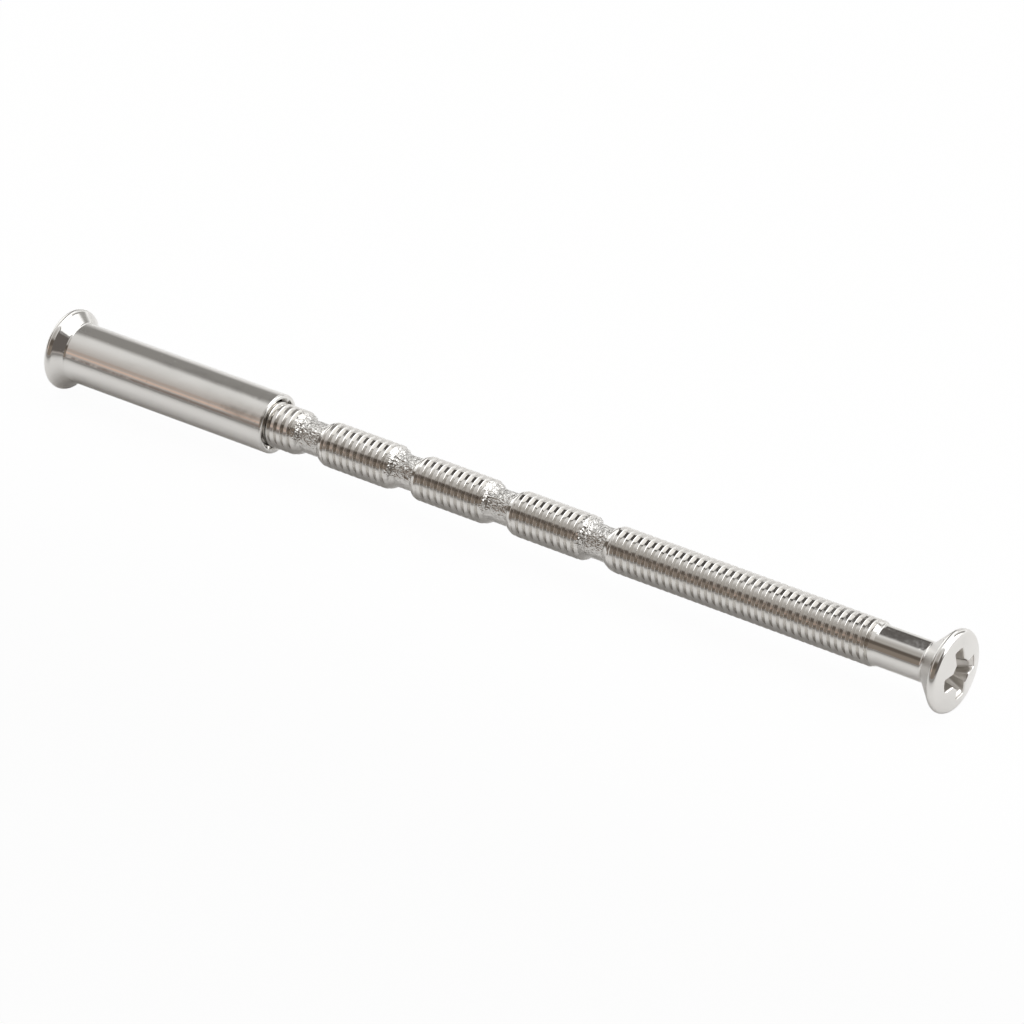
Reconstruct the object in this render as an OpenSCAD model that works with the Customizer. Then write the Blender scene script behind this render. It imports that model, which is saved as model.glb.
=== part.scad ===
// Door handle through-bolt: a break-off machine screw turned part way into a sleeve nut.
// It lies on its two head rims along X, with the screw's head at +X. Sizes are in millimetres.

/* [Thread] */
// Outside diameter of the thread
thread_d = 3.95; // [3.8:0.01:4]
// Distance from one turn of the thread to the next
thread_pitch = 0.7; // [0.5:0.05:1]
// Width of the flat on a turn's crest
crest_w = 0.26; // [0.05:0.01:0.3]
// Width of the flat at a groove's root
root_w = 0.06; // [0.05:0.01:0.15]
// Full angle between the two flanks of a groove, in degrees
flank_angle = 60; // [50:1:70]
// Gap between the thread and the sleeve's bore, all round
thread_clearance = 0.05; // [0.02:0.01:0.1]
// Length of thread that is turned into the sleeve
engaged_l = 7.3; // [3:0.1:12]

/* [Screw] */
// Length from the tip to the widest part of the head
screw_l = 75; // [70:0.5:100]
// Diameter of the plain shank under the head
shank_d = 3.5; // [3.2:0.05:3.7]
// Length from the widest part of the head to the start of the thread
plain_l = 6.6; // [5:0.1:12]
// Length over which the thread fades into the plain shank
runout_l = 0.5; // [0.2:0.1:1.2]
// Fillet between the shank and the head
screw_fillet = 0.45; // [0.2:0.05:1]
// Chamfer at the tip
tip_chamfer = 0.5; // [0.2:0.05:0.8]

/* [Break-off necks] */
// Number of necks
neck_count = 4; // [1:1:4]
// Distance from one neck to the next
neck_spacing = 9.8; // [8:0.1:12]
// Distance from the tip to the middle of the first neck
tip_segment_l = 11.5; // [8:0.1:14]
// Diameter of a neck
neck_d = 2.95; // [2.2:0.05:3.1]
// Length of a neck's straight part
neck_l = 1.8; // [0.5:0.1:2.5]
// Length of the rounded shoulder on each side of a neck
shoulder_l = 1.1; // [0.6:0.1:1.6]

/* [Sleeve nut] */
// Length from the widest part of the head to the open end
sleeve_l = 22.5; // [18:0.5:40]
// Outside diameter of the barrel
sleeve_d = 5.3; // [5:0.05:6]
// Fillet between the barrel and the head
sleeve_fillet = 0.3; // [0.2:0.05:1]
// Rounding of the open end's outer edge
mouth_round = 0.2; // [0.1:0.05:0.3]
// Chamfer at the mouth of the bore
mouth_chamfer = 0.4; // [0.1:0.05:0.4]
// Full angle of the drill point at the end of the bore, in degrees
drill_angle = 118; // [90:1:140]
// Thickness of metal between the drill point and the cross recess
web_t = 0.8; // [0.5:0.1:3]

/* [Heads] */
// Widest diameter of both heads
head_d = 7.2; // [6.8:0.05:8]
// Full angle of the cone under a head, in degrees
head_angle = 92; // [80:1:100]
// Radius of the rounded rim
rim_r = 0.4; // [0.2:0.05:0.5]
// Height of the crown above the rim's widest circle
crown_h = 0.9; // [0.55:0.01:1.2]

/* [Cross recess] */
// Distance across the wings at the top of the crown
recess_d = 4.5; // [3.8:0.1:5]
// Distance across the wings at their foot
recess_foot_d = 2.3; // [1.8:0.1:2.8]
// Depth of the wings below the top of the crown
recess_h = 2; // [1.4:0.1:2.2]
// Width of a wing
wing_w = 1.15; // [0.8:0.05:1.4]
// Diameter of the round core between the wings, at the top of the crown
core_d = 2.5; // [2:0.1:3]
// Diameter of that core at the foot of the wings
core_foot_d = 1.7; // [1.4:0.1:1.8]
// Full angle of the point at the bottom, in degrees
point_angle = 140; // [110:5:160]
// Turn of the cross about the axis, in degrees
recess_turn = 3; // [0:1:45]

/* [Hidden] */
$fn = 96;
arc_steps = 8;
// How far a cut runs on past the face that it opens
cut_over = 1;
thread_r = thread_d / 2;
flank_l = (thread_pitch - crest_w - root_w) / 2;
root_r = thread_r - flank_l / tan(flank_angle / 2);
groove_half = thread_pitch / 2 - crest_w / 2;
shank_r = shank_d / 2;
neck_r = neck_d / 2;
sleeve_r = sleeve_d / 2;
head_r = head_d / 2;
bore_r = thread_r + thread_clearance;
cone_a = head_angle / 2;
// Half the length of a neck with its shoulders
notch_half = neck_l / 2 + shoulder_l;
point_h = core_foot_d / 2 / tan(point_angle / 2);
recess_total = recess_h + point_h;
drill_h = bore_r / tan(drill_angle / 2);
bore_l = sleeve_l + crown_h - recess_total - web_t - drill_h;
// The bolt from crown to crown, centred on the origin, with the heads on the ground
bolt_l = screw_l - engaged_l + sleeve_l + 2 * crown_h;
sleeve_x = crown_h - bolt_l / 2;
tip_x = sleeve_x + sleeve_l - engaged_l;
axis_z = head_r;

// Points of an arc about c, from angle a0 to angle a1, without the first where it joins another arc
function arc(c, r, a0, a1, joins = false) =
    [for (i = [joins ? 1 : 0:arc_steps])
        let (a = a0 + (a1 - a0) * i / arc_steps)
        c + r * [cos(a), sin(a)]];

// Outline of a raised countersunk head, [radius, height above its widest circle], from the
// fillet on a stem of radius r up to the crown's top
function head_outline(r, fillet) =
    let (
        rim_c = [head_r - rim_r, 0],
        crown_r = (rim_c[0] * rim_c[0] + crown_h * crown_h - rim_r * rim_r) / 2 / (crown_h - rim_r),
        crown_c = [0, crown_h - crown_r],
        crown_a = atan2(-crown_c[1], rim_c[0]),
        cone_n = [cos(cone_a), -sin(cone_a)],
        cone_top = rim_c + rim_r * cone_n,
        fillet_y = cone_top[1] + ((r + fillet - cone_top[0]) * cone_n[0] - fillet) / sin(cone_a)
    )
    concat(
        arc([r + fillet, fillet_y], fillet, 180, 180 - cone_a),
        arc(rim_c, rim_r, -cone_a, crown_a),
        arc(crown_c, crown_r, crown_a, 90, joins = true)
    );

// Grooves of a threaded run between z0 and z1, as rings in step with the pitch all along the screw
function groove_outline(z0, z1) =
    let (
        first = ceil(z0 / thread_pitch + 0.5),
        last = floor(z1 / thread_pitch - 0.5),
        groove = [
            [thread_r, -groove_half], [root_r, -root_w / 2], [root_r, root_w / 2], [thread_r, groove_half]
        ]
    )
    [for (k = [first:last], p = groove) p + [0, k * thread_pitch]];

// Outline of a neck with a rounded shoulder on each side, centred at z
function neck_outline(z) =
    let (
        drop = thread_r - neck_r,
        round_r = (shoulder_l * shoulder_l + drop * drop) / 2 / drop,
        sweep = asin(shoulder_l / round_r),
        c = thread_r - round_r
    )
    concat(
        arc([c, z - notch_half], round_r, 0, sweep),
        arc([c, z + notch_half], round_r, -sweep, 0)
    );

// Cut for the cross recess, down from the crown's top at z = 0
module cross_recess() {
    cut_h = recess_h + cut_over;
    wing_taper = (recess_d - recess_foot_d) / 2 / recess_h;
    core_taper = (core_d - core_foot_d) / 2 / recess_h;
    top_r = recess_d / 2 + wing_taper * cut_over;
    translate([0, 0, -recess_h]) {
        intersection() {
            cylinder(h = cut_h, r1 = recess_foot_d / 2, r2 = top_r);
            for (a = [0, 90])
                rotate([0, 0, a + recess_turn])
                    translate([-top_r, -wing_w / 2, 0])
                        cube([2 * top_r, wing_w, cut_h]);
        }
        cylinder(h = cut_h, d1 = core_foot_d, d2 = core_d + 2 * core_taper * cut_over);
        translate([0, 0, -point_h])
            cylinder(h = point_h, d1 = 0, d2 = core_foot_d);
    }
}

// Stands a piece that was drawn along Z on the bolt's axis, with its base at x
module on_axis(x) {
    translate([x, 0, axis_z])
        rotate([0, 90, 0])
            children();
}

// The screw is drawn from its tip at z = 0 up to its head
module break_off_screw() {
    neck_z = [for (i = [0:neck_count - 1]) tip_segment_l + i * neck_spacing];
    thread_end = screw_l - plain_l;
    run_start = concat([tip_chamfer], [for (z = neck_z) z + notch_half]);
    run_end = concat([for (z = neck_z) z - notch_half], [thread_end - runout_l]);
    outline = concat(
        [[0, 0], [thread_r - tip_chamfer, 0], [thread_r, tip_chamfer]],
        [for (i = [0:neck_count])
            each concat(
                groove_outline(run_start[i], run_end[i]),
                i < neck_count ? neck_outline(neck_z[i]) : []
            )],
        [[thread_r, thread_end - runout_l], [shank_r, thread_end]],
        [for (p = head_outline(shank_r, screw_fillet)) p + [0, screw_l]]
    );
    color("silver")
        on_axis(tip_x)
            difference() {
                rotate_extrude()
                    polygon(outline);
                translate([0, 0, screw_l + crown_h])
                    cross_recess();
            }
}

// The sleeve nut is drawn head up, with its mouth at z = -sleeve_l, and turned round on the axis
module sleeve_nut() {
    mouth_c = [sleeve_r - mouth_round, mouth_round - sleeve_l];
    outline = concat(
        [[0, -sleeve_l]],
        arc(mouth_c, mouth_round, -90, 0),
        head_outline(sleeve_r, sleeve_fillet)
    );
    color("gainsboro")
        on_axis(sleeve_x)
            rotate([0, 180, 0])
                difference() {
                    rotate_extrude()
                        polygon(outline);
                    translate([0, 0, -sleeve_l - cut_over])
                        cylinder(h = bore_l + cut_over, r = bore_r);
                    translate([0, 0, bore_l - sleeve_l])
                        cylinder(h = drill_h, r1 = bore_r, r2 = 0);
                    translate([0, 0, -sleeve_l - cut_over])
                        cylinder(
                            h = mouth_chamfer + cut_over,
                            r1 = bore_r + mouth_chamfer + cut_over,
                            r2 = bore_r
                        );
                    translate([0, 0, crown_h])
                        cross_recess();
                }
}

break_off_screw();
sleeve_nut();
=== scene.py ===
import math

import bmesh
import bpy
import numpy as np
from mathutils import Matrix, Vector


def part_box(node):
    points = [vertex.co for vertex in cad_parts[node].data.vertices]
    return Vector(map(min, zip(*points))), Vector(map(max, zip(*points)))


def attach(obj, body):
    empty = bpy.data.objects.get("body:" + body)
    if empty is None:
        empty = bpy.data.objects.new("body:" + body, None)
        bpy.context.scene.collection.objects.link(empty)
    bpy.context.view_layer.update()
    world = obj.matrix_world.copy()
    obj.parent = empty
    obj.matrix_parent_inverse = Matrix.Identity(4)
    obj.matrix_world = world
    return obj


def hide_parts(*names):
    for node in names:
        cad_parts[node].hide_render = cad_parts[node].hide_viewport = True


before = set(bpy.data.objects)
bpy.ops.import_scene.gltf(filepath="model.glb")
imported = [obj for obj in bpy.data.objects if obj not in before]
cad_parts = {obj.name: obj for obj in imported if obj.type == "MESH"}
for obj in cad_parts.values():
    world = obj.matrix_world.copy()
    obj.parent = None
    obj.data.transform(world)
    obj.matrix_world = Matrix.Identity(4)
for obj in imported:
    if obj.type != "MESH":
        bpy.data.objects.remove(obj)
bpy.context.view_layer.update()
bpy.ops.object.select_all(action="DESELECT")  # the CAD nodes come in selected
print("frame loaded")

mm = 0.001
fullTurn = 2 * math.pi
quarterTurn = math.pi / 2
tiny = 0.01 * mm  # closer than this counts as touching
sleeveLow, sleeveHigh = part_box("sleeve_nut")
screwLow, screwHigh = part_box("break_off_screw")
axisZ = (sleeveLow.z + sleeveHigh.z) / 2
headR = (sleeveHigh.z - sleeveLow.z) / 2


# Points of an arc about a centre, as (height, radius) pairs
def arcPoints(centre, radius, start, end, steps):
    angles = [start + (end - start) * i / steps for i in range(steps + 1)]
    return [(centre[0] + radius * math.sin(a), centre[1] + radius * math.cos(a)) for a in angles]


# Minimum and maximum with a rounded corner, over a blend of the given width
def softMin(a, b, blend):
    near = max(blend - abs(a - b), 0) / blend
    return min(a, b) - near * near * blend / 4


def softMax(a, b, blend):
    return -softMin(-a, -b, blend)


# The two raised countersunk heads, measured from their widest circle
head = {
    "coneAngle": math.radians(46),  # between the cone and the axis
    "rimRound": 0.5 * mm,
    "crownRise": 0.9 * mm,
    "arcSteps": 10,
    "guard": 0.04 * mm,  # extra loop beside an arc, which keeps the next face's shading straight
    "faceLoops": 10,
    "sides": 256,
}
recess = {
    "acrossTop": 4.5 * mm,
    "acrossFoot": 2.3 * mm,
    "coreTop": 2.5 * mm,
    "coreFoot": 1.7 * mm,
    "wingWidth": 1.15 * mm,
    "wingDepth": 2.0 * mm,
    "pointAngle": math.radians(70),  # between the bottom's cone and the axis
    "lipRound": 0.12 * mm,
    "lipSteps": 5,
    "wallSteps": 12,
    "cornerBlend": 0.18 * mm,
    "footShare": 0.94,  # of the core's radius, at the last ring round the point
}
rimR = headR - head["rimRound"]  # radius of the circle that the rim's arc runs along
crownR = (rimR**2 + head["crownRise"] ** 2 - head["rimRound"] ** 2) / 2
crownR /= head["crownRise"] - head["rimRound"]


def crownHeight(radius):
    return head["crownRise"] - crownR + math.sqrt(crownR**2 - radius**2)


# Fillet on the stem, cone and rim, up to the crown's edge
def headOutline(stemR, fillet):
    cone = head["coneAngle"]
    coneTop = (-head["rimRound"] * math.sin(cone), rimR + head["rimRound"] * math.cos(cone))
    run = (stemR + fillet - coneTop[1]) * math.cos(cone) - fillet
    filletHeight = coneTop[0] + run / math.sin(cone)
    crownAngle = math.atan2(crownR - head["crownRise"], rimR)
    steps = head["arcSteps"]
    guard = head["guard"]
    foot = arcPoints((filletHeight, stemR + fillet), fillet, math.pi, math.pi - cone, steps)
    rim = arcPoints((0, rimR), head["rimRound"], -cone, crownAngle, 2 * steps)
    upCone = (guard * math.cos(cone), guard * math.sin(cone))
    return (
        [(foot[0][0] - guard, stemR)]
        + foot
        + [(foot[-1][0] + upCone[0], foot[-1][1] + upCone[1])]
        + [(rim[0][0] - upCone[0], rim[0][1] - upCone[1])]
        + rim
    )


# Outline of the cross recess at a depth below the crown's top, as a radius for each angle
def recessRadius(angle, depth, grow=0.0):
    share = min(max(depth / recess["wingDepth"], 0), 1)
    tip = (recess["acrossTop"] + (recess["acrossFoot"] - recess["acrossTop"]) * share) / 2 + grow
    core = (recess["coreTop"] + (recess["coreFoot"] - recess["coreTop"]) * share) / 2 + grow
    fromWing = (angle + quarterTurn / 2) % quarterTurn - quarterTurn / 2
    side = (recess["wingWidth"] / 2 + grow) / max(abs(math.sin(fromWing)), 0.01)
    return softMax(core, softMin(tip, side, recess["cornerBlend"]), recess["cornerBlend"])


# Rings from the crown's edge into the recess, each a function from an angle to (height, radius)
def faceRings():
    lip = recess["lipRound"]
    edgeR = headOutline(0, 0)[-1][1]  # the crown's edge, the same on any stem
    footHeight = head["crownRise"] - recess["wingDepth"]
    footR = recess["coreFoot"] / 2 * recess["footShare"]

    def onCrown(share):
        def ring(angle):
            radius = edgeR + (recessRadius(angle, 0, lip) - edgeR) * share
            return crownHeight(radius), radius
        return ring

    def onLip(turn):
        def ring(angle):
            top = crownHeight(recessRadius(angle, 0, lip))
            down = lip * (1 - math.cos(turn))
            return top - down, recessRadius(angle, 0, lip * (1 - math.sin(turn)))
        return ring

    def onWall(share):
        def ring(angle):
            top = crownHeight(recessRadius(angle, 0, lip)) - lip
            height = top + (footHeight - top) * share
            return height, recessRadius(angle, head["crownRise"] - height)
        return ring

    loops = [onCrown((i + 1) / head["faceLoops"]) for i in range(head["faceLoops"])]
    loops += [onLip(quarterTurn * (i + 1) / recess["lipSteps"]) for i in range(recess["lipSteps"])]
    loops += [onWall((i + 1) / recess["wallSteps"]) for i in range(recess["wallSteps"])]
    return loops + [lambda angle: (footHeight, footR)]


pointHeight = head["crownRise"] - recess["wingDepth"]
pointHeight -= recess["coreFoot"] / 2 / math.tan(recess["pointAngle"])


def plainRings(points):
    return [lambda angle, p=p: p for p in points]


# Puts the selected disc's edge on a ring about the axis, and its middle at a height of its own
def placeDisc(piece, ring, middle, rimX, way, turn):
    mesh = bmesh.from_edit_mesh(piece.data)
    for v in mesh.verts:
        if not v.select:
            continue
        if math.hypot(v.co.y, v.co.z - axisZ) < tiny:
            v.co = (rimX + way * middle, 0, axisZ)
            continue
        angle = math.atan2(v.co.z - axisZ, v.co.y)
        height, radius = ring(angle - turn)
        v.co = (rimX + way * height, radius * math.cos(angle), axisZ + radius * math.sin(angle))
    bmesh.update_edit_mesh(piece.data)


# Extrudes a disc from ring to ring; both of its ends stay closed, by a fan of faces to a point
def extrudeDisc(name, rings, startPoint, endPoint, rimX, way, turn):
    bpy.ops.object.select_all(action="DESELECT")
    bpy.ops.mesh.primitive_circle_add(
        vertices=head["sides"], radius=mm, fill_type="TRIFAN",
        location=(rimX, 0, axisZ), rotation=(0, quarterTurn, 0),
    )
    piece = bpy.context.object
    piece.name = name
    bpy.ops.object.transform_apply(location=True, rotation=True)
    bpy.ops.object.mode_set(mode="EDIT")
    bpy.ops.mesh.select_all(action="SELECT")
    placeDisc(piece, rings[0], startPoint, rimX, way, turn)
    for ring in rings[1:]:
        bpy.ops.mesh.extrude_region_move()
        placeDisc(piece, ring, endPoint, rimX, way, turn)
    bpy.ops.mesh.select_all(action="SELECT")
    bpy.ops.mesh.normals_make_consistent(inside=False)
    bpy.ops.object.mode_set(mode="OBJECT")
    return piece


# Sleeve nut: bore, open mouth, barrel and head in one run
sleeve = {
    "barrelR": 2.65 * mm,
    "boreR": 2.025 * mm,
    "fillet": 0.3 * mm,
    "mouthRound": 0.2 * mm,
    "mouthChamfer": 0.3 * mm,
    "drillAngle": math.radians(59),  # between the drill point and the axis
    "web": 0.8 * mm,  # metal between the drill point and the recess
    "recessTurn": math.radians(-3),
    "shadeAngle": 35,  # edges sharper than this stay crisp
}


def makeSleeve():
    rimX = sleeveLow.x + head["crownRise"]
    mouth = rimX - sleeveHigh.x  # heights run towards the crown, so the mouth is below zero
    drillTop = pointHeight - sleeve["web"]
    boreEnd = drillTop - sleeve["boreR"] / math.tan(sleeve["drillAngle"])
    chamfer = sleeve["mouthChamfer"]
    edge = (mouth + sleeve["mouthRound"], sleeve["barrelR"] - sleeve["mouthRound"])
    outline = [
        (boreEnd, sleeve["boreR"]),
        (mouth + chamfer, sleeve["boreR"]),
        (mouth, sleeve["boreR"] + chamfer),
    ]
    outline += arcPoints(edge, sleeve["mouthRound"], -quarterTurn, 0, head["arcSteps"])
    outline.append((edge[0] + head["guard"], sleeve["barrelR"]))
    outline += headOutline(sleeve["barrelR"], sleeve["fillet"])
    rings = plainRings(outline) + faceRings()
    return extrudeDisc("sleeveNut", rings, drillTop, pointHeight, rimX, -1, sleeve["recessTurn"])


# Break-off screw: a helical thread with necks, and a plain shank with the head
screw = {
    "threadR": 1.975 * mm,
    "pitch": 0.7 * mm,
    "crestFlat": 0.3 * mm,
    "crestRound": 0.02 * mm,
    "crestSteps": 2,
    "crestGuard": 0.02 * mm,  # extra point on the flat, which keeps its shading straight
    "flankGuard": 0.9,  # share of the flank at its own extra point
    "root": 0.06 * mm,
    "flankAngle": math.radians(30),  # between a flank and the plane across the axis
    "phase": 0.27 * mm,  # where a groove crosses the horizontal plane, from the tip
    "stepsPerTurn": 64,
    "tipChamfer": 0.5 * mm,
    "shankR": 1.75 * mm,
    "plainL": 6.6 * mm,  # from the thread's end to the head's widest circle
    "runOut": 0.5 * mm,
    "joinL": 0.6 * mm,  # from the thread's end to the join with the head's mesh
    "fillet": 0.45 * mm,
    "neckR": 1.475 * mm,
    "neckL": 1.8 * mm,
    "firstNeck": 11.5 * mm,  # from the tip
    "neckSpacing": 9.8 * mm,
    # each neck's shoulders, towards the tip and towards the head
    "shoulders": ((1.25, 1.0), (1.25, 0.75), (1.25, 1.05), (0.75, 1.25)),
    "steepTop": 0.35,  # share by which the shoulders are shorter on top than underneath
    "steepFrom": -0.3,  # height on the round where that starts, as a share of its radius
    # on top, a shoulder towards the head is a step and then a slow cone
    "stepL": 0.2 * mm,
    "stepR": 1.71 * mm,
    "leadL": 0.55 * mm,
    "leadFrom": -0.6,  # height on the round where these start
    # where the thread comes back, from half a shoulder, towards the tip and towards the head
    "pressedRun": (-0.6 * mm, 0.2 * mm),
    "pressFade": 0.5 * mm,
    "crushTip": 1 * mm,  # the crush fades over this length towards the tip
    "crushEdge": 0.3 * mm,  # and over this one about the neck's end towards the head
    "crushUnder": 0.35,  # share of the crush that is left underneath
    "facetSize": 0.34 * mm,
    "facetDepth": 0.1 * mm,
    "creaseSize": 0.16 * mm,
    "creaseDepth": 0.06 * mm,
    "recessTurn": math.radians(3),
    "shadeAngle": 40,
    "mergeGap": 0.002 * mm,
    "cutGap": 0.0001 * mm,
}
crestHalf = screw["crestFlat"] / 2 + screw["crestRound"] * math.cos(screw["flankAngle"])
flankRun = screw["pitch"] / 2 - crestHalf - screw["root"] / 2
flankTop = screw["threadR"] - screw["crestRound"] * (1 - math.sin(screw["flankAngle"]))
threadRoot = flankTop - flankRun / math.tan(screw["flankAngle"])
screwRim = screwHigh.x - head["crownRise"]
threadEnd = screwRim - screw["plainL"]
shankJoin = threadEnd + screw["joinL"]  # where the threaded mesh meets the head's mesh
firstNeck = screwLow.x + screw["firstNeck"]
neckPlaces = [firstNeck + i * screw["neckSpacing"] for i in range(len(screw["shoulders"]))]


# Extrudes one point along an outline of (x, radius) pairs
def drawOutline(name, points):
    bpy.ops.object.select_all(action="DESELECT")
    bpy.ops.mesh.primitive_plane_add(size=mm, location=(0, 0, axisZ))
    piece = bpy.context.object
    piece.name = name
    bpy.ops.object.mode_set(mode="EDIT")
    bpy.ops.mesh.select_all(action="SELECT")
    bpy.ops.mesh.merge(type="CENTER")
    bpy.ops.transform.translate(value=(points[0][0], points[0][1], 0))
    for (x0, r0), (x1, r1) in zip(points, points[1:]):
        bpy.ops.mesh.extrude_region_move(TRANSFORM_OT_translate={"value": (x1 - x0, r1 - r0, 0)})
    bpy.ops.object.mode_set(mode="OBJECT")
    return piece


def easeStep(share):
    share = np.clip(share, 0, 1)
    return share * share * (3 - 2 * share)


# Places of a piece's vertices: along the axis, across and up from it, and the distance from it
def axisPlaces(piece):
    spots = np.empty(len(piece.data.vertices) * 3)
    piece.data.vertices.foreach_get("co", spots)
    x, y, z = spots[0::3], spots[1::3], spots[2::3] - axisZ
    return x, y, z, np.hypot(y, z)


# Outer limit of the thread along the axis, and the share of its depth that is left there: tip
# chamfer, pressed necks, run-out
def threadLimits(x, lift):
    high = np.minimum(screw["threadR"], screw["threadR"] - screw["tipChamfer"] + x - screwLow.x)
    keep = np.ones_like(x)
    drop = screw["threadR"] - screw["neckR"]
    for place, shoulders in zip(neckPlaces, screw["shoulders"]):
        side = np.where(x < place, 0, 1)
        steep = screw["steepTop"] * easeStep(lift - screw["steepFrom"])
        length = np.array(shoulders)[side] * mm * (1 - steep)
        past = np.abs(x - place) - screw["neckL"] / 2  # distance from the neck's straight part
        reach = np.clip(length - past, 0, length)
        roundR = (length**2 + drop**2) / 2 / drop
        shoulder = screw["threadR"] - roundR + np.sqrt(roundR**2 - reach**2)
        onStep = np.clip(past / screw["stepL"], 0, 1)
        onCone = np.clip((past - screw["stepL"]) / screw["leadL"], 0, 1)
        lead = screw["neckR"] + (screw["stepR"] - screw["neckR"]) * onStep
        lead += (screw["threadR"] - screw["stepR"]) * onCone
        shoulder += (lead - shoulder) * easeStep(lift - screw["leadFrom"]) * side
        high = np.minimum(high, shoulder)
        pressedTo = length / 2 + np.array(screw["pressedRun"])[side]
        keep = np.minimum(keep, easeStep((past - pressedTo) / screw["pressFade"]))
    fade = np.clip((x - threadEnd) / screw["runOut"] + 1, 0, 1)
    high += (screw["shankR"] - high) * fade
    return high, keep * (1 - fade)


# How far a spot is crushed: all through a neck, less and less up its shoulder towards the tip, hardly
# at all on the one towards the head, and more on the upper side than underneath
def neckCrush(x, z):
    crush = np.zeros_like(x)
    for place in neckPlaces:
        past = np.abs(x - place) - screw["neckL"] / 2
        tipSide = 1 - easeStep(past / screw["crushTip"])
        headSide = 1 - easeStep(past / screw["crushEdge"] + 0.5)
        crush = np.maximum(crush, np.where(x < place, tipSide, headSide))
    upper = easeStep(z / screw["neckR"] + 0.5)
    return crush * (screw["crushUnder"] + (1 - screw["crushUnder"]) * upper)


# Dents the necks with two sizes of crumple
def crushNecks(piece):
    x, _, z, _ = axisPlaces(piece)
    weights = neckCrush(x, z)
    group = piece.vertex_groups.new(name="necks")
    for i in np.flatnonzero(weights > 0.01):
        group.add([int(i)], float(weights[i]), "REPLACE")
    for name, kind in (("facet", "VORONOI"), ("crease", "CLOUDS")):
        texture = bpy.data.textures.new(name, kind)
        texture.noise_scale = screw[name + "Size"]
        dent = piece.modifiers.new(name, "DISPLACE")
        dent.texture = texture
        dent.texture_coords = "LOCAL"
        dent.vertex_group = "necks"
        dent.mid_level = 0.5
        dent.strength = screw[name + "Depth"]
        bpy.ops.object.modifier_apply(modifier=dent.name)
    piece.vertex_groups.remove(piece.vertex_groups["necks"])


def makeThread():
    pitch = screw["pitch"]
    flat = screw["crestFlat"] / 2
    centre = (pitch / 2 - flat, screw["threadR"] - screw["crestRound"])
    lean = quarterTurn - screw["flankAngle"]
    rise = flankTop - threadRoot
    half = [(screw["root"] / 2 + flankRun * s, threadRoot + rise * s) for s in (0, screw["flankGuard"])]
    half += arcPoints(centre, screw["crestRound"], -lean, 0, screw["crestSteps"])
    half.append((centre[0] + screw["crestGuard"], screw["threadR"]))
    outline = half + [(pitch - x, r) for x, r in half[::-1]]
    outline.append((pitch + screw["root"] / 2, threadRoot))
    start = screwLow.x - 2 * pitch + screw["phase"]
    piece = drawOutline("threadRun", [(start + x, r) for x, r in outline])
    turns = math.ceil((shankJoin - start) / pitch) + 2
    winding = piece.modifiers.new("winding", "SCREW")
    winding.axis = "X"
    winding.angle = fullTurn
    winding.screw_offset = pitch
    winding.iterations = turns
    winding.steps = screw["stepsPerTurn"]
    winding.render_steps = screw["stepsPerTurn"]
    bpy.ops.object.modifier_apply(modifier=winding.name)
    bpy.ops.object.transform_apply(location=True)

    x, y, z, radius = axisPlaces(piece)
    high, keep = threadLimits(x, z / radius)
    scale = (high - (screw["threadR"] - radius) * keep) / radius
    spots = np.column_stack((x, y * scale, axisZ + z * scale))
    piece.data.vertices.foreach_set("co", spots.ravel())

    bpy.ops.object.mode_set(mode="EDIT")
    bpy.ops.mesh.select_all(action="SELECT")
    bpy.ops.mesh.remove_doubles(threshold=screw["mergeGap"])
    bpy.ops.mesh.bisect(
        plane_co=(screwLow.x, 0, 0), plane_no=(1, 0, 0), clear_inner=True, use_fill=True,
        threshold=screw["cutGap"],
    )
    bpy.ops.mesh.select_all(action="SELECT")
    bpy.ops.mesh.bisect(
        plane_co=(shankJoin, 0, 0), plane_no=(1, 0, 0), clear_outer=True, threshold=screw["cutGap"]
    )
    bpy.ops.mesh.select_all(action="SELECT")
    bpy.ops.mesh.normals_make_consistent(inside=False)  # before the bridge, which follows them
    bpy.ops.object.mode_set(mode="OBJECT")
    crushNecks(piece)
    return piece


def makeScrewHead():
    joinHeight = shankJoin - screwRim
    rings = plainRings([(joinHeight, screw["shankR"])] + headOutline(screw["shankR"], screw["fillet"]))
    piece = extrudeDisc(
        "screwHead", rings + faceRings(), joinHeight, pointHeight, screwRim, 1, screw["recessTurn"]
    )
    bpy.ops.object.mode_set(mode="EDIT")
    bpy.ops.mesh.select_mode(type="VERT")
    bpy.ops.mesh.select_all(action="DESELECT")
    mesh = bmesh.from_edit_mesh(piece.data)
    for v in mesh.verts:
        v.select_set(v.co.x < shankJoin + tiny and math.hypot(v.co.y, v.co.z - axisZ) < tiny)
    bpy.ops.mesh.delete(type="VERT")  # opens the end that meets the thread
    bpy.ops.object.mode_set(mode="OBJECT")
    return piece


def makeScrew():
    run = makeThread()
    cap = makeScrewHead()
    bpy.ops.object.select_all(action="DESELECT")
    cap.select_set(True)
    run.select_set(True)
    bpy.context.view_layer.objects.active = run
    bpy.ops.object.join()
    run.name = "breakOffScrew"
    bpy.ops.object.mode_set(mode="EDIT")
    bpy.ops.mesh.select_mode(type="EDGE")
    bpy.ops.mesh.select_all(action="DESELECT")
    mesh = bmesh.from_edit_mesh(run.data)
    for e in mesh.edges:
        e.select_set(e.is_boundary)
    bmesh.update_edit_mesh(run.data)
    bpy.ops.mesh.bridge_edge_loops()
    bpy.ops.mesh.select_mode(type="VERT")
    bpy.ops.mesh.select_all(action="SELECT")
    bpy.ops.mesh.normals_make_consistent(inside=False)
    bpy.ops.object.mode_set(mode="OBJECT")
    return run


def smoothShade(piece, angle):
    bpy.ops.object.select_all(action="DESELECT")
    piece.select_set(True)
    bpy.context.view_layer.objects.active = piece
    bpy.ops.object.shade_smooth_by_angle(angle=math.radians(angle))


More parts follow.
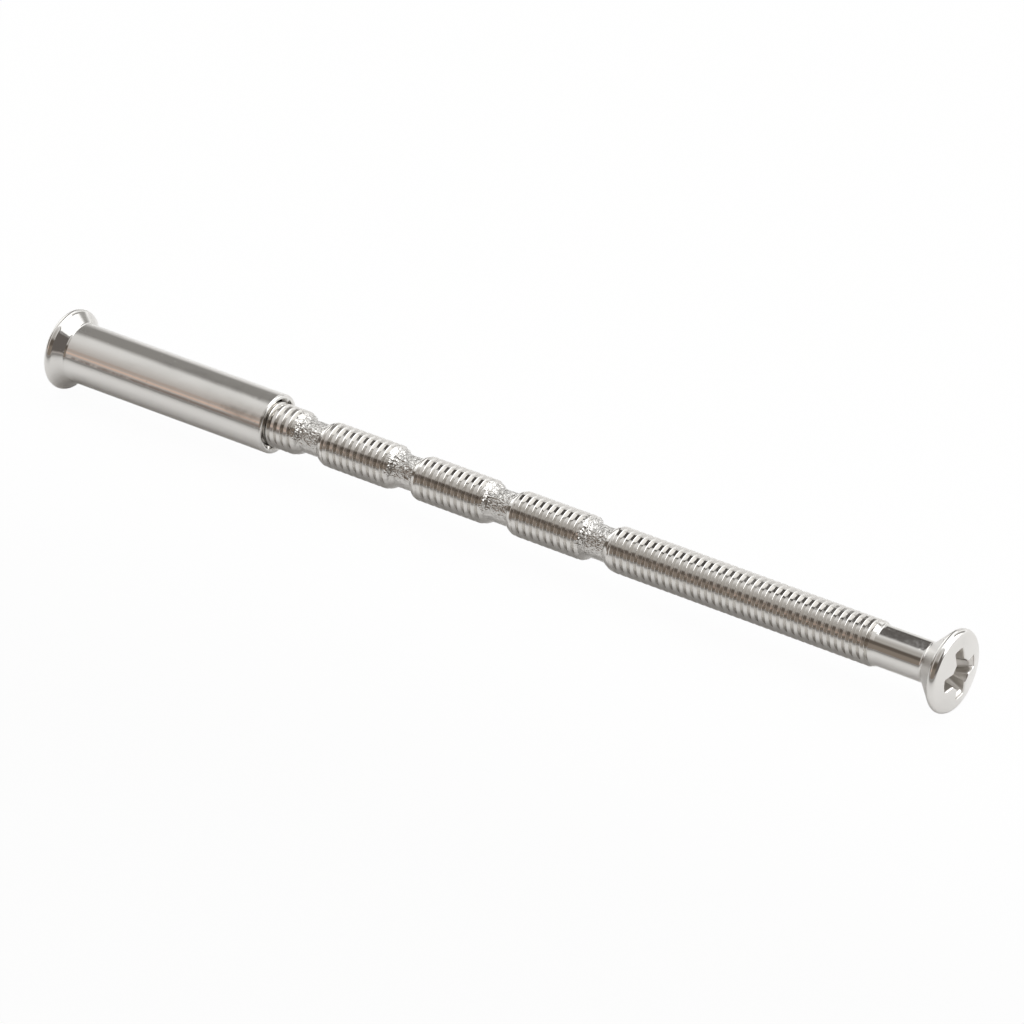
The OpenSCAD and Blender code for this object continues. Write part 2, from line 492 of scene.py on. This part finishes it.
sleeveNut = makeSleeve()
smoothShade(sleeveNut, sleeve["shadeAngle"])
print("sleeve nut modelled:", len(sleeveNut.data.polygons), "faces")
breakOffScrew = makeScrew()
smoothShade(breakOffScrew, screw["shadeAngle"])
print("break-off screw modelled:", len(breakOffScrew.data.polygons), "faces")


# The plating isn't the same all over, and shade is painted into it in places, so each piece carries
# marks that tell it where it is
marked = {
    # painted shade: a darker colour at the bottom of the grooves and on the thread's underside
    "grooveShade": 0.22,  # how dark the bottom of a groove is
    "underShade": 0.75,  # how dark the thread's underside is
    "underFrom": 0.02,  # depth below the axis where that starts, as a share of the thread's radius
    "underFade": 0.25,
    "boreFrom": 5 * mm,  # from the sleeve's crown, clear of its recess
    "recessBelow": 0.1 * mm,  # margin below the recess's point
    "recessFade": 0.15 * mm,
    "seatRise": 0.2 * mm,
    "seatFrom": 0.3 * mm,  # behind the rim
    "seatFade": 0.1 * mm,
}


def writeMark(piece, name, values):
    mark = piece.data.attributes.new(name, "FLOAT", "POINT")
    mark.data.foreach_set("value", values.astype(float))


# Crushed necks, the thread itself, and painted shade at the bottom of its grooves and on its underside
def markThread(piece):
    x, _, z, radius = axisPlaces(piece)
    outer = threadLimits(x, z / np.maximum(radius, tiny))[0]
    crush = neckCrush(x, z)
    threaded = easeStep((threadEnd - x) / screw["runOut"])
    # painted shade, deepest at a groove's bottom and on the thread's underside
    groove = marked["grooveShade"] * np.clip((outer - radius) / (screw["threadR"] - threadRoot), 0, 1)
    below = easeStep((-z / screw["threadR"] - marked["underFrom"]) / marked["underFade"])
    groove = np.maximum(groove, marked["underShade"] * below)
    writeMark(piece, "neckCrush", crush)
    writeMark(piece, "threaded", threaded)
    writeMark(piece, "groove", groove * threaded * (1 - crush))


# The sleeve's bore and the chamfer at its mouth, which carry painted shade and are darker than the
# barrel
def markBoreShade(piece):
    x, _, _, radius = axisPlaces(piece)
    inside = radius < sleeve["boreR"] + sleeve["mouthChamfer"] - tiny
    writeMark(piece, "bore", inside * (x > sleeveLow.x + marked["boreFrom"]))


# The recess, which is rougher than the crown and darker in colour
def markRecess(piece, rimX, way):
    x, _, _, radius = axisPlaces(piece)
    height = (x - rimX) * way
    inside = radius < recess["acrossTop"] / 2 + recess["lipRound"]
    inside = inside * (height > pointHeight - marked["recessBelow"])
    crown = head["crownRise"] - crownR + np.sqrt(crownR**2 - np.minimum(radius, headR) ** 2)
    writeMark(piece, "recess", inside * easeStep((crown - height) / marked["recessFade"]))


# The cone under the screw's head, which is satin
def markSeat(piece):
    x, _, _, radius = axisPlaces(piece)
    seat = easeStep((radius - screw["shankR"]) / marked["seatRise"])
    seat = seat * easeStep((screwRim - x - marked["seatFrom"]) / marked["seatFade"])
    writeMark(piece, "seat", seat * (x > shankJoin))


markThread(breakOffScrew)
markSeat(breakOffScrew)
markBoreShade(sleeveNut)
markRecess(breakOffScrew, screwRim, 1)
markRecess(sleeveNut, sleeveLow.x + head["crownRise"], -1)
print("marks written")


def mathNode(tree, operation, first, second=None):
    node = tree.nodes.new("ShaderNodeMath")
    node.operation = operation
    for socket, value in zip(node.inputs, (first, second)):
        if isinstance(value, (int, float)):
            socket.default_value = value
        elif value is not None:
            tree.links.new(value, socket)
    return node.outputs[0]


# A colour laid over another through a mask
def layNode(tree, below, mask, colour):
    mix = tree.nodes.new("ShaderNodeMix")
    mix.data_type = "RGBA"
    mix.inputs[7].default_value = colour
    tree.links.new(mask, mix.inputs[0])
    tree.links.new(below, mix.inputs[6])
    return mix.outputs[2]


# Smooth step of a value from 0 to 1, between two limits
def rampNode(tree, value, low, high):
    ramp = tree.nodes.new("ShaderNodeMapRange")
    ramp.interpolation_type = "SMOOTHSTEP"
    ramp.inputs["From Min"].default_value = low
    ramp.inputs["From Max"].default_value = high
    tree.links.new(value, ramp.inputs["Value"])
    return ramp.outputs["Result"]


# Noise of a size in millimetres, stretched along the bolt's axis by a factor
def noiseNode(tree, place, size, stretch, detail):
    mapping = tree.nodes.new("ShaderNodeMapping")
    mapping.inputs["Scale"].default_value = (1 / stretch, 1, 1)
    tree.links.new(place, mapping.inputs["Vector"])
    noise = tree.nodes.new("ShaderNodeTexNoise")
    noise.inputs["Scale"].default_value = 1 / (size * mm)
    noise.inputs["Detail"].default_value = detail
    tree.links.new(mapping.outputs["Vector"], noise.inputs["Vector"])
    return noise.outputs["Fac"]


# A mark that a piece carries, as a value
def markNode(tree, name):
    node = tree.nodes.new("ShaderNodeAttribute")
    node.attribute_name = name
    return node.outputs["Fac"]


# Each noise is its size in millimetres, its stretch along the axis and its detail
handling = {
    "cloud": (3.2, 2.5, 3),
    "cloudSpan": (0.5, 0.72),
    "drawn": (0.12, 40, 2),
    "drawnRelief": 0.12,
    "swell": (0.9, 1.8, 2),
    "cellSize": 0.55 * mm,
    "holeSpan": (0.13, 0.06),
    "rare": (1.6, 1, 1),
    "rareSpan": (0.52, 0.6),
}


# Marks of handling on the plating: cloudy smudges, faint drawn lines, pinholes and a gentle swell
def makeHandlingGroup():
    group = bpy.data.node_groups.new("handlingMarks", "ShaderNodeTree")
    for name in ("Smudge", "Lines", "Pinholes", "Swell"):
        group.interface.new_socket(name, in_out="INPUT", socket_type="NodeSocketFloat")
    for name in ("Dull", "Spots", "Height"):
        group.interface.new_socket(name, in_out="OUTPUT", socket_type="NodeSocketFloat")
    given = group.nodes.new("NodeGroupInput").outputs
    shown = group.nodes.new("NodeGroupOutput").inputs
    place = group.nodes.new("ShaderNodeTexCoord").outputs["Object"]

    cloud = rampNode(group, noiseNode(group, place, *handling["cloud"]), *handling["cloudSpan"])
    cloud = mathNode(group, "MULTIPLY", cloud, given["Smudge"])
    drawn = mathNode(group, "SUBTRACT", noiseNode(group, place, *handling["drawn"]), 0.5)
    drawn = mathNode(group, "MULTIPLY", drawn, given["Lines"])
    swell = mathNode(group, "SUBTRACT", noiseNode(group, place, *handling["swell"]), 0.5)
    swell = mathNode(group, "MULTIPLY", swell, given["Swell"])
    cells = group.nodes.new("ShaderNodeTexVoronoi")
    cells.inputs["Scale"].default_value = 1 / handling["cellSize"]
    group.links.new(place, cells.inputs["Vector"])
    rare = rampNode(group, noiseNode(group, place, *handling["rare"]), *handling["rareSpan"])
    holes = rampNode(group, cells.outputs["Distance"], *handling["holeSpan"])
    holes = mathNode(group, "MULTIPLY", mathNode(group, "MULTIPLY", holes, rare), given["Pinholes"])

    group.links.new(mathNode(group, "ADD", cloud, mathNode(group, "ABSOLUTE", drawn)), shown["Dull"])
    group.links.new(holes, shown["Spots"])
    lines = mathNode(group, "MULTIPLY", drawn, handling["drawnRelief"])
    relief = mathNode(group, "ADD", swell, lines)
    group.links.new(mathNode(group, "SUBTRACT", relief, holes), shown["Height"])
    return group


# Bright plating, the same on both pieces but for its wear and marks; the marks also lay painted shade
# into the thread's grooves and underside and into the sleeve's bore
plating = {
    "colour": (0.8, 0.79, 0.77, 1),
    "dulled": (0.7, 0.69, 0.67, 1),
    "polish": 0.05,  # roughness of the clean plating
    "dullness": 0.22,  # roughness that a full smudge adds
    "relief": 0.009 * mm,
    "crushRelief": 0.22 * mm,
    "crushRough": 0.04,
    "crumple": (0.26, 1.4, 1.5),  # noise, as for the handling
    "threaded": (0.78, 0.765, 0.74, 1),
    # painted shade for the bottom of the grooves and the thread's underside
    "groove": (0.45, 0.435, 0.415, 1),
    "crushed": (0.64, 0.63, 0.61, 1),
    "recessTone": (0.66, 0.64, 0.61, 1),
    "punchRough": 0.25,
    "seatRough": 0.33,
    # painted shade for the bore and the mouth's chamfer
    "bore": (0.4, 0.385, 0.365, 1),
}


def makePlating(name, wear, threaded):
    material = bpy.data.materials.new(name)
    material.use_nodes = True
    tree = material.node_tree
    shader = tree.nodes["Principled BSDF"]
    shader.inputs["Metallic"].default_value = 1
    marks = tree.nodes.new("ShaderNodeGroup")
    marks.node_tree = handlingMarks
    for socket, value in wear.items():
        marks.inputs[socket].default_value = value

    tint = tree.nodes.new("ShaderNodeMix")
    tint.data_type = "RGBA"
    tint.inputs[6].default_value = plating["colour"]
    tint.inputs[7].default_value = plating["dulled"]
    tree.links.new(mathNode(tree, "ADD", marks.outputs["Dull"], marks.outputs["Spots"]), tint.inputs[0])
    colour = tint.outputs[2]

    rough = mathNode(tree, "MULTIPLY", marks.outputs["Dull"], plating["dullness"])
    rough = mathNode(tree, "ADD", rough, plating["polish"])
    height = mathNode(tree, "MULTIPLY", marks.outputs["Height"], plating["relief"])
    punch = markNode(tree, "recess")
    colour = layNode(tree, colour, punch, plating["recessTone"])
    rough = mathNode(tree, "ADD", rough, mathNode(tree, "MULTIPLY", punch, plating["punchRough"]))
    if threaded:
        # a tint for the thread, then painted shade in its grooves and on its underside
        for spot in ("threaded", "groove"):
            colour = layNode(tree, colour, markNode(tree, spot), plating[spot])
        satin = mathNode(tree, "MULTIPLY", markNode(tree, "seat"), plating["seatRough"])
        rough = mathNode(tree, "ADD", rough, satin)
        crush = markNode(tree, "neckCrush")
        colour = layNode(tree, colour, crush, plating["crushed"])
        place = tree.nodes.new("ShaderNodeTexCoord").outputs["Object"]
        fold = mathNode(tree, "SUBTRACT", noiseNode(tree, place, *plating["crumple"]), 0.5)
        fold = mathNode(tree, "MULTIPLY", fold, crush)
        fold = mathNode(tree, "MULTIPLY", fold, plating["crushRelief"])
        height = mathNode(tree, "ADD", height, fold)
        rough = mathNode(tree, "ADD", rough, mathNode(tree, "MULTIPLY", crush, plating["crushRough"]))
    else:
        # painted shade in the bore and the mouth's chamfer
        colour = layNode(tree, colour, markNode(tree, "bore"), plating["bore"])
    tree.links.new(colour, shader.inputs["Base Color"])
    tree.links.new(rough, shader.inputs["Roughness"])
    bump = tree.nodes.new("ShaderNodeBump")
    bump.inputs["Distance"].default_value = 1
    tree.links.new(height, bump.inputs["Height"])
    tree.links.new(bump.outputs["Normal"], shader.inputs["Normal"])
    return material


handlingMarks = makeHandlingGroup()
sleeveWear = {"Smudge": 0.6, "Lines": 0.35, "Pinholes": 0.5, "Swell": 1.0}
screwWear = {"Smudge": 0.4, "Lines": 0.2, "Pinholes": 0.3, "Swell": 0.7}
sleeveNut.data.materials.append(makePlating("sleevePlating", sleeveWear, False))
breakOffScrew.data.materials.append(makePlating("screwPlating", screwWear, True))
print("plating made")

# Studio: pale floor, a surround that the metal mirrors, one soft lamp
studio = {
    "floorSize": 6.0,
    "floorColour": (0.93, 0.93, 0.93, 1),
    # painted shade: the floor's colour darkens towards the front, where the metal mirrors it
    "floorFrontShade": (0.3, 0.29, 0.28, 1),
    "frontShadeFade": 42 * mm,  # distance over which the floor darkens towards the front
    "floorGlow": 0.97,  # share of plain white in the floor as the camera sees it
    "front": (0.5, 0.46, 0.43, 1),
    "above": (0.81, 0.8, 0.785, 1),
    "riseSpan": (25, 85),  # degrees over which front turns into above
}
# Soft-edged cards of the surround. Along is the share of a direction that runs along +X. Around is
# its angle about the bolt, in degrees: 0 is the horizon in front, 90 is above, 180 is behind.
cards = [
    {
        "name": "sideWall", "along": (-0.12, 1.1), "around": (120, 200), "soft": (0.04, 16),
        "colour": (1.1, 1.1, 1.09, 1),
    },
    {
        "name": "windowFrame", "along": (0.35, 1.1), "around": (80, 150), "soft": (0.04, 3),
        "colour": (0.2, 0.19, 0.18, 1),
    },
    {
        "name": "window", "along": (0.38, 0.945), "around": (84, 168), "soft": (0.03, 4),
        "colour": (1.4, 1.4, 1.4, 1),
    },
    {
        "name": "overhead", "along": (-0.08, 0.3), "around": (84, 126), "soft": (0.04, 6),
        "colour": (2.4, 2.4, 2.4, 1),
    },
    {
        "name": "besideWindow", "along": (0.08, 0.37), "around": (129, 172), "soft": (0.05, 8),
        "colour": (0.4, 0.39, 0.375, 1),
    },
    {
        "name": "endLight", "along": (-1.1, -0.7), "around": (115, 175), "soft": (0.06, 16),
        "colour": (1.5, 1.5, 1.48, 1),
    },
    {
        "name": "backLow", "along": (-1.1, -0.56), "around": (164, 182), "soft": (0.02, 8),
        "colour": (0.14, 0.13, 0.125, 1),
    },
    {
        "name": "overFront", "along": (-0.505, 0.3), "around": (30, 70), "soft": (0.02, 28),
        "colour": (0.46, 0.438, 0.41, 1),
    },
    {
        "name": "backGrey", "along": (-0.64, -0.519), "around": (102, 164), "soft": (0.006, 26),
        "colour": (0.29, 0.28, 0.265, 1),
    },
    {
        "name": "backDark", "along": (-0.448, -0.428), "around": (86, 167), "soft": (0.006, 15),
        "colour": (0.1, 0.091, 0.084, 1),
    },
    {
        "name": "overBack", "along": (-0.427, -0.15), "around": (80, 150), "soft": (0.006, 10),
        "colour": (1.5, 1.5, 1.5, 1),
    },
    {
        "name": "backStrip", "along": (-0.519, -0.448), "around": (97, 139), "soft": (0.006, 10),
        "colour": (0.075, 0.069, 0.064, 1),
    },
    {
        "name": "frontLow", "along": (-0.521, 0.6), "around": (-3, 36), "soft": (0.006, 11),
        "colour": (0.25, 0.21, 0.175, 1),
    },
    {
        "name": "frontHigh", "along": (-0.521, 0.6), "around": (25, 44), "soft": (0.006, 11),
        "colour": (0.125, 0.105, 0.088, 1),
    },
    {
        "name": "frontEnd", "along": (0.6, 1.1), "around": (4, 80), "soft": (0.05, 12),
        "colour": (0.145, 0.13, 0.12, 1),
    },
    {
        "name": "upperLine", "along": (-0.7, -0.521), "around": (24, 33), "soft": (0.006, 10),
        "colour": (0.47, 0.39, 0.34, 1),
    },
    {
        "name": "warmLine", "along": (-0.7, -0.521), "around": (14, 20.5), "soft": (0.006, 6),
        "colour": (0.7, 0.52, 0.43, 1),
    },
    {
        "name": "lowerLine", "along": (-0.553, -0.521), "around": (-9, 9), "soft": (0.01, 8),
        "colour": (0.24, 0.2, 0.18, 1),
    },
    {
        "name": "leftEnd", "along": (-1.1, -0.86), "around": (0, 85), "soft": (0.06, 20),
        "colour": (0.14, 0.12, 0.1, 1),
    },
]


# 1 within a span, falling to 0 over a soft edge
def windowNode(tree, value, span, soft):
    half = (span[1] - span[0]) / 2
    away = mathNode(tree, "ABSOLUTE", mathNode(tree, "SUBTRACT", value, (span[0] + span[1]) / 2))
    return rampNode(tree, away, half + soft / 2, half - soft / 2)


# Direction at an azimuth from +X and an elevation, both in degrees
def towards(azimuth, elevation):
    turn = math.radians(azimuth)
    rise = math.radians(elevation)
    return Vector((math.cos(turn) * math.cos(rise), math.sin(turn) * math.cos(rise), math.sin(rise)))


def makeWorld():
    world = bpy.data.worlds.new("studioSurround")
    bpy.context.scene.world = world
    world.use_nodes = True
    tree = world.node_tree
    tree.nodes.clear()
    place = tree.nodes.new("ShaderNodeTexCoord").outputs["Generated"]
    split = tree.nodes.new("ShaderNodeSeparateXYZ")
    tree.links.new(place, split.inputs["Vector"])
    along = split.outputs["X"]
    towardsFront = mathNode(tree, "MULTIPLY", split.outputs["Y"], -1)
    around = mathNode(tree, "DEGREES", mathNode(tree, "ARCTAN2", split.outputs["Z"], towardsFront))
    base = tree.nodes.new("ShaderNodeRGB")
    base.outputs[0].default_value = studio["front"]
    rise = rampNode(tree, around, *studio["riseSpan"])
    colour = layNode(tree, base.outputs[0], rise, studio["above"])
    for card in cards:
        lengthwise = windowNode(tree, along, card["along"], card["soft"][0])
        crosswise = windowNode(tree, around, card["around"], card["soft"][1])
        colour = layNode(tree, colour, mathNode(tree, "MULTIPLY", lengthwise, crosswise), card["colour"])

    light = tree.nodes.new("ShaderNodeLightPath")
    mirrored = tree.nodes.new("ShaderNodeBackground")
    tree.links.new(colour, mirrored.inputs["Color"])
    plain = tree.nodes.new("ShaderNodeBackground")
    plain.inputs["Color"].default_value = (1, 1, 1, 1)
    either = tree.nodes.new("ShaderNodeMixShader")
    tree.links.new(light.outputs["Is Camera Ray"], either.inputs["Fac"])
    tree.links.new(mirrored.outputs[0], either.inputs[1])
    tree.links.new(plain.outputs[0], either.inputs[2])
    output = tree.nodes.new("ShaderNodeOutputWorld")
    tree.links.new(either.outputs[0], output.inputs["Surface"])


def makeFloor():
    bpy.ops.object.select_all(action="DESELECT")
    bpy.ops.mesh.primitive_plane_add(size=studio["floorSize"])
    floor = bpy.context.object
    floor.name = "floor"
    material = bpy.data.materials.new("paleFloor")
    material.use_nodes = True
    tree = material.node_tree
    tree.nodes.clear()
    paint = tree.nodes.new("ShaderNodeBsdfDiffuse")
    split = tree.nodes.new("ShaderNodeSeparateXYZ")
    tree.links.new(tree.nodes.new("ShaderNodeTexCoord").outputs["Object"], split.inputs["Vector"])
    front = tree.nodes.new("ShaderNodeRGB")
    front.outputs[0].default_value = studio["floorFrontShade"]
    # painted shade, darkening the floor towards the front
    nearness = rampNode(tree, split.outputs["Y"], -studio["frontShadeFade"], 0)
    shade = layNode(tree, front.outputs[0], nearness, studio["floorColour"])
    tree.links.new(shade, paint.inputs["Color"])
    glow = tree.nodes.new("ShaderNodeEmission")
    light = tree.nodes.new("ShaderNodeLightPath")
    seen = mathNode(tree, "MULTIPLY", light.outputs["Is Camera Ray"], studio["floorGlow"])
    mix = tree.nodes.new("ShaderNodeMixShader")
    tree.links.new(seen, mix.inputs["Fac"])
    tree.links.new(paint.outputs[0], mix.inputs[1])
    tree.links.new(glow.outputs[0], mix.inputs[2])
    output = tree.nodes.new("ShaderNodeOutputMaterial")
    tree.links.new(mix.outputs[0], output.inputs["Surface"])
    floor.data.materials.append(material)


lamp = {
    "azimuth": 30,
    "elevation": 27,
    "distance": 1.0,
    "width": 0.9,
    "height": 0.35,
    "power": 2.0,
}


def makeLamp():
    back = towards(lamp["azimuth"], lamp["elevation"])
    bpy.ops.object.light_add(type="AREA", location=back * lamp["distance"])
    soft = bpy.context.object
    soft.name = "softLamp"
    soft.rotation_euler = back.to_track_quat("Z", "Y").to_euler()
    soft.data.shape = "RECTANGLE"
    soft.data.size = lamp["width"]
    soft.data.size_y = lamp["height"]
    soft.data.energy = lamp["power"]


makeWorld()
makeFloor()
makeLamp()
print("studio made")

# The photograph's view, fitted to the thread's turns and the heads
shot = {
    "azimuth": 35.242 - 90,  # the front is at -90
    "elevation": 31.195,
    "distance": 548.6 * mm,
    "lens": 231.17,
    "aimX": 1.7825 * mm,  # along the bolt's axis
    "aimDrop": 0.1804 * mm,  # below the axis in the picture
    "sensor": 36,
    "near": 0.01,
    "far": 20,
}


def makeCamera():
    back = towards(shot["azimuth"], shot["elevation"])
    facing = back.to_track_quat("Z", "Y")
    aim = Vector((shot["aimX"], 0, axisZ)) - facing @ Vector((0, shot["aimDrop"], 0))
    bpy.ops.object.camera_add(location=aim + back * shot["distance"], rotation=facing.to_euler())
    camera = bpy.context.object
    camera.data.sensor_width = shot["sensor"]
    camera.data.lens = shot["lens"]
    camera.data.clip_start = shot["near"]
    camera.data.clip_end = shot["far"]
    bpy.context.scene.camera = camera


makeCamera()
bpy.context.scene.view_settings.view_transform = "Standard"
print("camera placed")

for piece, body, node, slot in (
    (sleeveNut, "sleeve", "sleeve_nut", "sleeve_plating"),
    (breakOffScrew, "screw", "break_off_screw", "screw_plating"),
):
    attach(piece, body)
    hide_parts(node)
